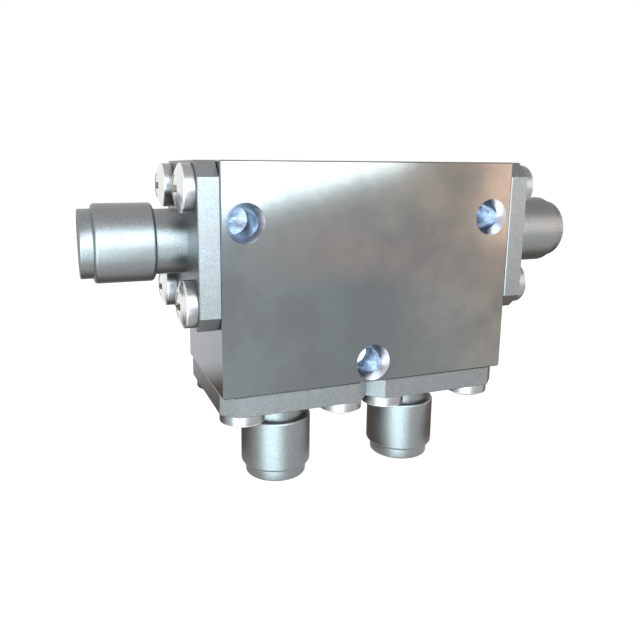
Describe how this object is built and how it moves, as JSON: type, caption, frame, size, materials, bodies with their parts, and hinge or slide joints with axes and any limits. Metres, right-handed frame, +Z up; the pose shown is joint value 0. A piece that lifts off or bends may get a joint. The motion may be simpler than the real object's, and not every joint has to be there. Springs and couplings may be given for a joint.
{
  "type": "rf circulator",
  "caption": "Coaxial microwave circulator: a plain metal block with female jacks on square screwed flanges at its ends and underneath, and tapped mounting holes in its front.",
  "frame": {"origin": "centre of the bounding box's underside: under the middle of the block, level with the ends of the two lower jacks", "axes": "+X to the right as seen facing the front face with the mounting holes, +Y from that face towards the back, +Z up towards the block's plain top"},
  "size_m": [0.0446, 0.0126, 0.0275],
  "materials": {
    "plated_steel": "satin nickel plate",
    "stainless": "fine turned satin",
    "screw_steel": "bright, lightly polished",
    "ptfe": "waxy white",
    "gold": "gold plate",
    "strip_brass": "silver plate",
    "ferrite": "ground dark ceramic",
    "soft_steel": "ground",
    "magnet": "ground, dull",
    "trim_alloy": "rolled"
  },
  "bodies": {
    "root": {"housing": "plated_steel", "centre_conductor": "strip_brass", "left_lid": "plated_steel", "left_front_ferrite": "ferrite", "left_front_pole_piece": "soft_steel", "left_front_magnet": "magnet", "left_front_compensator": "trim_alloy", "left_rear_ferrite": "ferrite", "left_rear_pole_piece": "soft_steel", "left_rear_magnet": "magnet", "left_rear_compensator": "trim_alloy", "right_lid": "plated_steel", "right_front_ferrite": "ferrite", "right_front_pole_piece": "soft_steel", "right_front_magnet": "magnet", "right_front_compensator": "trim_alloy", "right_rear_ferrite": "ferrite", "right_rear_pole_piece": "soft_steel", "right_rear_magnet": "magnet", "right_rear_compensator": "trim_alloy", "left_jack_shell": "stainless", "left_dielectric": "ptfe", "left_contact": "gold", "left_flange_screws": "screw_steel", "lower_left_jack_shell": "stainless", "lower_left_dielectric": "ptfe", "lower_left_contact": "gold", "lower_left_flange_screws": "screw_steel", "lower_right_jack_shell": "stainless", "lower_right_dielectric": "ptfe", "lower_right_contact": "gold", "lower_right_flange_screws": "screw_steel", "right_jack_shell": "stainless", "right_dielectric": "ptfe", "right_contact": "gold", "right_flange_screws": "screw_steel"}
  },
  "joints": []
}
